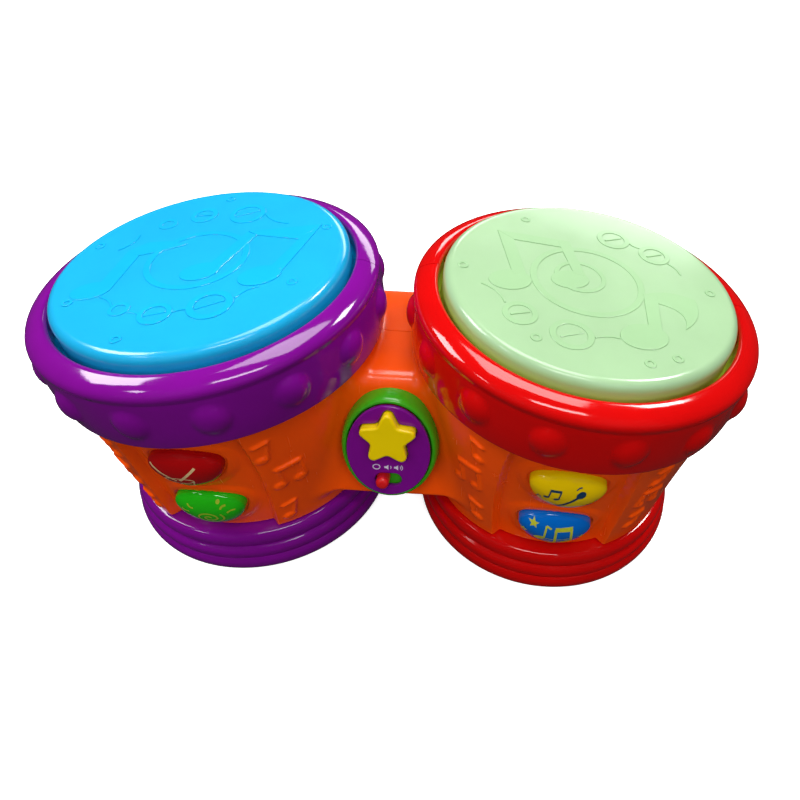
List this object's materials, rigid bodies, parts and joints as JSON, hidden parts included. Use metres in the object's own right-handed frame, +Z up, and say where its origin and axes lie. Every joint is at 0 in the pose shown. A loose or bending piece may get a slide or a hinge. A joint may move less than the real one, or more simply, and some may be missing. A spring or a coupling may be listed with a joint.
{
  "type": "toy electronic bongo drum pad",
  "caption": "Toy electronic bongo drums: round pressable heads on flared drums joined by a bridge with a star button, slide switch and picture buttons.",
  "frame": {"origin": "floor point midway between the drums, under the middle of the bounding box", "axes": "+X towards the mint-headed drum on the right, -Y towards the player, +Z up"},
  "size_m": [0.3127, 0.1521, 0.141],
  "materials": {
    "orange_body": "satin moulded plastic",
    "purple_trim": "polished moulded plastic",
    "red_trim": "polished moulded plastic",
    "head_blue": "satin moulded plastic",
    "head_mint": "satin moulded plastic",
    "bezel_green": "polished moulded plastic",
    "star_yellow": "polished moulded plastic",
    "knob_red": "satin moulded plastic",
    "button_red": "polished, with a printed picture",
    "button_green": "polished, with a printed picture",
    "button_yellow": "polished, with a printed picture",
    "button_blue": "polished, with a printed picture",
    "white_inner": "moulded plastic",
    "circuit_board": "solder-masked board",
    "led_clear": "clear lens",
    "foam_grey": "soft foam",
    "steel": "plated steel",
    "speaker_black": "pressed paper and ferrite",
    "battery_wrap": "sleeved metal can"
  },
  "bodies": {
    "housing": {"body_front": "orange_body", "body_rear": "orange_body", "rim_left_front": "purple_trim", "rim_left_rear": "purple_trim", "rim_right_front": "red_trim", "rim_right_rear": "red_trim", "base_left": "purple_trim", "base_right": "red_trim", "base_screw_left_1": "steel", "base_screw_left_2": "steel", "base_screw_right_1": "steel", "base_screw_right_2": "steel", "deck_left": "white_inner", "deck_right": "white_inner", "head_board_left": "circuit_board", "head_board_right": "circuit_board", "led_left": "led_clear", "led_right": "led_clear", "head_foam_left_1": "foam_grey", "head_foam_left_2": "foam_grey", "head_foam_left_3": "foam_grey", "head_foam_right_1": "foam_grey", "head_foam_right_2": "foam_grey", "head_foam_right_3": "foam_grey", "button_board_left": "circuit_board", "button_board_right": "circuit_board", "pod_bezel": "bezel_green", "pod_face": "purple_trim", "pod_board": "circuit_board", "slide_switch": "steel", "speaker_frame": "steel", "speaker_cone": "speaker_black", "speaker_magnet": "speaker_black", "main_board": "circuit_board", "battery_1": "battery_wrap", "battery_2": "battery_wrap", "battery_3": "battery_wrap", "battery_contact_low": "steel", "battery_contact_top": "steel", "shell_screw_1": "steel", "shell_screw_2": "steel", "shell_screw_3": "steel", "shell_screw_4": "steel"},
    "head_left": {"head_left": "head_blue"},
    "head_right": {"head_right": "head_mint"},
    "button_red": {"button_red": "button_red"},
    "button_green": {"button_green": "button_green"},
    "button_yellow": {"button_yellow": "button_yellow"},
    "button_blue": {"button_blue": "button_blue"},
    "star_button": {"star_button": "star_yellow"},
    "slide_knob": {"slide_knob": "knob_red"},
    "battery_door": {"battery_door": "orange_body", "battery_door_screw": "steel"}
  },
  "joints": [
    {"name": "head_left_press", "type": "slide", "parent": "housing", "child": "head_left", "axis": [0.1011, 0, -0.9949], "range_m": [0, 0.002], "stiffness_N_per_m": 1500, "springref_m": -0.001, "deforming": ["head_foam_left_1", "head_foam_left_2", "head_foam_left_3"]},
    {"name": "head_right_press", "type": "slide", "parent": "housing", "child": "head_right", "axis": [-0.1011, 0, -0.9949], "range_m": [0, 0.002], "stiffness_N_per_m": 1500, "springref_m": -0.001, "deforming": ["head_foam_right_1", "head_foam_right_2", "head_foam_right_3"]},
    {"name": "button_red_press", "type": "slide", "parent": "housing", "child": "button_red", "axis": [0.0418, 0.9902, 0.1335], "range_m": [0, 0.0015], "stiffness_N_per_m": 400, "springref_m": -0.001},
    {"name": "button_green_press", "type": "slide", "parent": "housing", "child": "button_green", "axis": [0.0461, 0.9902, 0.132], "range_m": [0, 0.0015], "stiffness_N_per_m": 400, "springref_m": -0.001},
    {"name": "button_yellow_press", "type": "slide", "parent": "housing", "child": "button_yellow", "axis": [0.0271, 0.9914, 0.1277], "range_m": [0, 0.0015], "stiffness_N_per_m": 400, "springref_m": -0.001},
    {"name": "button_blue_press", "type": "slide", "parent": "housing", "child": "button_blue", "axis": [0.023, 0.9914, 0.1285], "range_m": [0, 0.0015], "stiffness_N_per_m": 400, "springref_m": -0.001},
    {"name": "star_button_press", "type": "slide", "parent": "housing", "child": "star_button", "axis": [0, 0.9659, -0.2588], "range_m": [0, 0.0015], "stiffness_N_per_m": 400, "springref_m": -0.001},
    {"name": "slide_knob_travel", "type": "slide", "parent": "housing", "child": "slide_knob", "axis": [1, 0, 0], "range_m": [0, 0.0048]},
    {"name": "battery_door_removal", "type": "slide", "parent": "housing", "child": "battery_door", "axis": [0, 1, 0], "range_m": [0, 0.025]}
  ]
}
